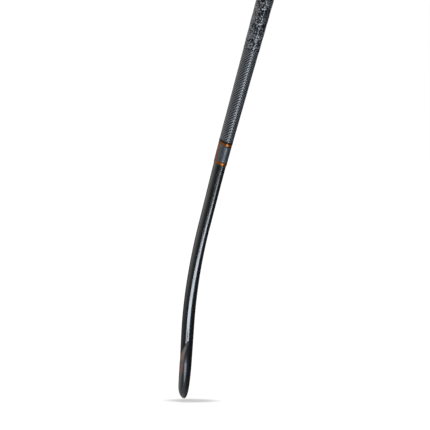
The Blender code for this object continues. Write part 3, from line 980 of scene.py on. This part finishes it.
def lacquered_laminate():
    """Black fibre laminate under clear lacquer, scuffed at the sole, painted at the toe, with a
    painted sheen on its sides.
    """
    finish, tree, shader, place = finish_tree("lacquered_laminate")
    share, along, metric = map_places(tree)
    weave = use(tree, TWILL, {"Place": metric, "Tow": 0.0022})
    grain = use(tree, GRAIN, {"Place": place, "Size": 0.0011})
    marks = use(tree, HANDLING, {"Place": place, "Size": 0.035, "Scratches": 0.6})
    sole = window(tree, along, SOLE_TOE_SIDE, SOLE_HEEL_SIDE)
    scuffs = use(tree, WEAR, {"Place": place, "Nearness": sole, "Size": 0.0035, "Amount": 0.7})
    from_back = calculate(tree, "ABSOLUTE", calculate(tree, "SUBTRACT", share, 0.5))
    split = add(tree, "SeparateXYZ", {0: place})
    toe = span(tree, split.outputs["Y"], *TOE_REACH)

    fibre = between(tree, weave["Warp"], FIBRE_WEFT, FIBRE_WARP)
    tone = between(tree, grain["Slow"], FIBRE_BLOTCH, fibre)
    # Painted sheen: the toe's sides, short of the face, get a lighter blue-black
    painted_sheen = product(tree, toe, fade(tree, from_back, *TOE_SHEEN_SIDE))
    tone = between(tree, painted_sheen, tone, TOE_PAINTED_SHEEN)
    grey = between(tree, grain["Slow"], *TOE_GREYS)
    tone = between(tree, toe_field(tree, along, from_back), tone, grey)
    copper = between(tree, grain["Fine"], *COPPERS)
    tone = between(tree, copper_stripes(tree, along, from_back), tone, copper)
    tone = between(tree, scuffs["Mask"], tone, SCUFF_GREY)
    tone = between(tree, marks["Scratch"], tone, SCRATCH_GREY)

    dulling = span(tree, along, *TIP_DULLING)
    added = ((marks["Smear"], LACQUER_SMEAR), (scuffs["Mask"], LACQUER_SCUFF), (toe, dulling))
    unscuffed = rest(tree, product(tree, scuffs["Mask"], SCUFF_DEPTH))
    coat = product(tree, unscuffed, rest(tree, product(tree, toe, TOE_BARENESS)))
    feed(tree, shader, {
        "Base Color": tone, "Roughness": raised(tree, LACQUER_ROUGHNESS, *added),
        "IOR": GLOSS_IOR, "Coat Weight": coat, "Coat Roughness": 0.10,
    })
    height = raised(tree, weave["Crown"], (grain["Fine"], WEAVE_GRAIN))
    roughen(tree, shader, height, depth=0.000004)
    return finish


def printed_film(name, inks, roughness, streak_size, metallic, coat):
    """Glossy printed film: its ink wanders between two tones, in faint slanting streaks."""
    finish, tree, shader, place = finish_tree(name)
    grain = use(tree, GRAIN, {"Place": place, "Size": 0.0007})
    marks = use(tree, HANDLING, {"Place": place, "Size": 0.02})
    slanted = mapped_place(tree, place, Rotation=STREAK_TURN, Scale=STREAK_STRETCH)
    streak = cloud(tree, slanted, 1.0 / streak_size, detail=3.0, roughness=0.6)
    tone = between(tree, span(tree, streak, *BLOTCH_EDGE), *inks)
    specks = product(tree, grain["Fine"], INK_SPECKS)
    tone = between(tree, specks, tone, toned(inks[0], INK_SPECK_TONE))
    feed(tree, shader, {
        "Base Color": tone, "Roughness": raised(tree, roughness, (marks["Smear"], FILM_SMEAR)),
        "Metallic": metallic, "IOR": GLOSS_IOR, "Coat Weight": coat, "Coat Roughness": 0.12,
    })
    roughen(tree, shader, grain["Fine"], depth=0.00003)
    return finish


def grip_skin(name, groove_shade, crest, roughness, grain_size):
    """Rubbery grip with a faint bloom on it: grooves darkened as painted shade, crests paler."""
    finish, tree, shader, place = finish_tree(name)
    top = add(tree, "Attribute", attribute_name="crest").outputs["Fac"]
    grain = use(tree, GRAIN, {"Place": place, "Size": grain_size})
    worn = use(tree, WEAR, {"Place": place, "Nearness": top, "Size": 0.012, "Amount": 0.2})
    # Painted shade: towards the grooves the tone goes over to the near-black groove tone
    tone = between(tree, span(tree, top, *CREST_EDGE), groove_shade, crest)
    tone = between(tree, worn["Mask"], tone, toned(crest, RUBBED_CREST_TONE))
    tone = between(tree, product(tree, grain["Slow"], CREST_BLOTCHES), tone, groove_shade)
    feed(tree, shader, {
        "Base Color": tone, "Roughness": raised(tree, roughness, (grain["Slow"], GRIP_GRAIN)),
        "IOR": GLOSS_IOR, "Sheen Weight": 0.30, "Sheen Roughness": 0.30,
    })
    roughen(tree, shader, grain["Fine"], depth=0.00004)
    return finish


def dull_solid(name, tones, roughness, grain_size, relief):
    """Plain matt stuff, such as crepe tape or rubber: mottled, grained and rubbed."""
    finish, tree, shader, place = finish_tree(name)
    grain = use(tree, GRAIN, {"Place": place, "Size": grain_size})
    marks = use(tree, HANDLING, {"Place": place, "Size": 0.015})
    near = marks["Smear"]
    worn = use(tree, WEAR, {"Place": place, "Nearness": near, "Size": 0.006, "Amount": 0.5})
    tone = between(tree, span(tree, grain["Slow"], *BLOTCH_EDGE), *tones)
    tone = between(tree, worn["Mask"], tone, toned(tones[1], RUBBED_SOLID_TONE))
    rough = raised(tree, roughness, (grain["Fine"], SOLID_GRAIN))
    feed(tree, shader, {"Base Color": tone, "Roughness": rough})
    roughen(tree, shader, grain["Fine"], relief)
    return finish


def cut_foam(name, tones, cell):
    """Rigid foam with its cut cells open: painted shade in them, light on their walls."""
    finish, tree, shader, place = finish_tree(name)
    inputs = {"Vector": place, "Scale": 1.0 / cell}
    cells = add(tree, "TexVoronoi", inputs, feature="DISTANCE_TO_EDGE")
    hollow = span(tree, cells.outputs["Distance"], *CELL_EDGE)
    grain = use(tree, GRAIN, {"Place": place, "Size": FOAM_BLOTCH_CELLS * cell})
    dark, light = tones
    # Painted shade: the open cells take the darker tone
    tone = between(tree, hollow, light, dark)
    tone = between(tree, product(tree, grain["Slow"], FOAM_BLOTCHES), tone, light)
    rough = raised(tree, FOAM_ROUGHNESS, (grain["Fine"], FOAM_GRAIN))
    feed(tree, shader, {"Base Color": tone, "Roughness": rough})
    roughen(tree, shader, rest(tree, hollow), depth=0.0003)
    return finish


def raw_laminate():
    """Bare woven laminate of the shaft's tubes, satin with its resin."""
    finish, tree, shader, place = finish_tree("raw_laminate")
    wall = mapped_place(tree, place, Rotation=TUBE_TURN)
    weave = use(tree, TWILL, {"Place": wall, "Tow": 0.0025})
    grain = use(tree, GRAIN, {"Place": place, "Size": 0.0009})
    tone = between(tree, weave["Warp"], *TUBE_FIBRES)
    tone = between(tree, product(tree, grain["Slow"], RESIN_BLOTCHES), tone, TUBE_RESIN)
    rough = raised(tree, TUBE_ROUGHNESS, (grain["Fine"], TUBE_GRAIN))
    feed(tree, shader, {"Base Color": tone, "Roughness": rough})
    roughen(tree, shader, weave["Crown"], depth=0.00012)
    return finish


def refinish(node, finish):
    """A better finish for a CAD node that stays as it is."""
    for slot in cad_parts[node].material_slots:
        slot.material = finish


def aim(thing, target):
    thing.rotation_euler = (Vector(target) - thing.location).to_track_quat("-Z", "Y").to_euler()


def softbox(
    name, place, target, size, power, colour=WHITE, spread=180.0, roll=0.0, mirrored=True,
):
    """A lamp with a square front: its width and height, and its spread and roll in degrees."""
    lamp = bpy.data.lights.new(name, "AREA")
    lamp.shape = "RECTANGLE"
    lamp.size, lamp.size_y = size
    lamp.energy = power
    lamp.color = colour
    lamp.spread = math.radians(spread)
    box = bpy.data.objects.new(name, lamp)
    box.location = place
    aim(box, target)
    box.rotation_euler.rotate_axis("Z", math.radians(roll))
    box.visible_camera = False
    box.visible_glossy = mirrored
    bpy.context.scene.collection.objects.link(box)


def lamps():
    """A long strip for the streak down the stick, a small one for the grip's, and two fills."""
    softbox(
        "low_strip", place=(-0.05, -1.3, -0.93), target=(-0.05, 0.0, -0.83),
        size=(1.7, 0.26), power=9.7, colour=COOL_WHITE, roll=-6.0,
    )
    softbox(
        "low_fill", place=(0.05, -1.3, -1.5), target=(-0.1, 0.0, -0.9),
        size=(0.9, 0.8), power=7.0, colour=COOL_WHITE,
    )
    softbox(
        "grip_strip", place=(-0.03, -0.42, -0.331), target=(-0.06, 0.0, -0.216),
        size=(0.085, 0.24), power=0.055, colour=COOL_WHITE, spread=60.0,
    )
    softbox(
        "top_light", place=(-0.2, -0.4, 2.5), target=(-0.15, 0.0, -0.7),
        size=(2.0, 2.0), power=80.0, mirrored=False,
    )


def studio_air():
    """White where the camera looks; in gloss, a dim room with pale walls on the left and low."""
    world = bpy.data.worlds.new("studio_air")
    world.use_nodes = True
    bpy.context.scene.world = world
    tree = world.node_tree
    way = add(tree, "SeparateXYZ", {0: add(tree, "TexCoord").outputs["Generated"]}).outputs
    left, front = [calculate(tree, "MULTIPLY", way[axis], -1.0) for axis in "XY"]
    round_left = calculate(tree, "ARCTAN2", left, front)

    def turning(start, end, first, last):
        """A tone that changes from one angle to another, round the left from the front."""
        return span(tree, round_left, math.radians(start), math.radians(end), first, last)

    def climbing(start, end):
        return span(tree, way["Z"], start, end)

    not_behind = turning(*BACK_WALL)
    right = turning(*RIGHT_SIDE)
    pale = product(tree, turning(*PALE_WALL), not_behind, climbing(*PALE_CLIMB))
    bright = product(tree, turning(*BRIGHT_WALL), not_behind, climbing(*BRIGHT_CLIMB))
    low = product(tree, window(tree, way["Z"], *LOW_BAND), turning(*LOW_WALL), right)
    under = calculate(tree, "MAXIMUM", right, climbing(*UNDERSIDE))
    deep = product(tree, climbing(*DEEP_CLIMB), DEEP_TONE, under)
    walls = calculate(tree, "MAXIMUM", bright, calculate(tree, "ADD", low, deep))
    walls = calculate(tree, "MAXIMUM", pale, walls)
    mirrored = calculate(tree, "ADD", walls, turning(*RIGHT_WALL))
    soft = span(tree, way["X"], *SOFT_LIGHT)

    ray = add(tree, "LightPath").outputs
    level = blend(tree, ray["Is Glossy Ray"], soft, mirrored)
    feed(tree, tree.nodes["Background"], {
        "Color": (*WHITE, 1.0), "Strength": blend(tree, ray["Is Camera Ray"], level, 1.0),
    })


def floor_with_painted_shadow():
    """Matt white floor, kept white for the camera, with a soft shadow painted under the head."""
    finish, tree, shader, place = finish_tree("floor_with_painted_shadow")
    centred = mapped_place(tree, place, Location=(-PAINTED_SHADOW_CENTRE[0], -PAINTED_SHADOW_CENTRE[1], 0.0))
    shrink = (1.0 / PAINTED_SHADOW_REACH[0], 1.0 / PAINTED_SHADOW_REACH[1], 0.0)
    shrunk = add(tree, "VectorMath", {0: centred, 1: shrink}, operation="MULTIPLY")
    away = add(tree, "VectorMath", {0: shrunk.outputs["Vector"]}, operation="LENGTH")
    # Painted shadow: the floor's tone darkens in a soft ellipse under the head
    tone = span(tree, away.outputs["Value"], PAINTED_SHADOW_CORE, 1.0, PAINTED_SHADOW_TONE, 1.0)
    paint = product(tree, tone, FLOOR_PAINT)
    seen = add(tree, "LightPath").outputs["Is Camera Ray"]
    feed(tree, shader, {
        "Base Color": add(tree, "CombineColor", {0: paint, 1: paint, 2: paint}).outputs["Color"],
        "Emission Color": add(tree, "CombineColor", {0: tone, 1: tone, 2: tone}).outputs["Color"],
        "Emission Strength": product(tree, seen, FLOOR_GLOW),
        "Roughness": 1.0,
        "Specular IOR Level": 0.0,
    })
    return finish


def floor():
    mesh = bmesh.new()
    bmesh.ops.create_grid(mesh, x_segments=1, y_segments=1, size=FLOOR_HALF_SIZE)
    bmesh.ops.translate(mesh, verts=mesh.verts, vec=(0.0, 0.0, cad_low.z - FLOOR_DROP))
    data = bpy.data.meshes.new("floor")
    mesh.to_mesh(data)
    mesh.free()
    ground = bpy.data.objects.new("floor", data)
    bpy.context.scene.collection.objects.link(ground)
    ground.visible_glossy = False
    ground.visible_shadow = False
    data.materials.append(floor_with_painted_shadow())


def camera():
    data = bpy.data.cameras.new("photo_camera")
    half_frame = FRAME_PIXELS / 2 / PIXELS_PER_METRE
    data.sensor_width = SENSOR_WIDTH
    data.lens = SENSOR_WIDTH / 2 * VIEW_DISTANCE / half_frame
    data.clip_end = VIEW_END
    eye = bpy.data.objects.new("photo_camera", data)
    level = math.cos(VIEW_ELEVATION)
    back = Vector((
        math.sin(VIEW_AZIMUTH) * level, -math.cos(VIEW_AZIMUTH) * level, math.sin(VIEW_ELEVATION)
    ))
    eye.location = VIEW_CENTRE + back * VIEW_DISTANCE
    aim(eye, VIEW_CENTRE)
    bpy.context.scene.collection.objects.link(eye)
    bpy.context.scene.camera = eye


def whole_stick():
    """Every piece from the head up to the butt, and the pieces inside."""
    laminate_skin(lacquered_laminate())
    orange = printed_film(
        "trim_orange", ORANGE_INKS, roughness=0.34, streak_size=0.004, metallic=0.8, coat=0.05,
    )
    grey = printed_film(
        "band_grey", GREY_INKS, roughness=0.36, streak_size=0.003, metallic=0.0, coat=1.0,
    )
    finish_band(orange, grey)
    edge_tape(dull_solid(
        "end_tape_black", END_TAPE_BLACKS, roughness=0.55, grain_size=0.0006, relief=0.00004,
    ))
    ribbed_sleeve(grip_skin(
        "sleeve_charcoal", SLEEVE_GROOVE_SHADE, SLEEVE_CREST, roughness=0.18, grain_size=0.0006,
    ))
    wound_tape(grip_skin(
        "tape_charcoal", TAPE_GROOVE_SHADE, TAPE_CREST, roughness=0.11, grain_size=0.0008,
    ))
    rubber_cap(dull_solid(
        "cap_rubber", RUBBER_BLACKS, roughness=0.55, grain_size=0.0009, relief=0.00005,
    ))
    refinish("head_core", cut_foam("core_foam", CORE_TONES, cell=0.0007))
    refinish("handle_plug", cut_foam("plug_foam", PLUG_TONES, cell=0.0012))
    for tube in ("shaft_tube_heel_side", "shaft_tube_toe_side"):
        refinish(tube, raw_laminate())


bpy.context.scene.view_settings.view_transform = "Standard"
camera()
studio_air()
floor()
lamps()
whole_stick()
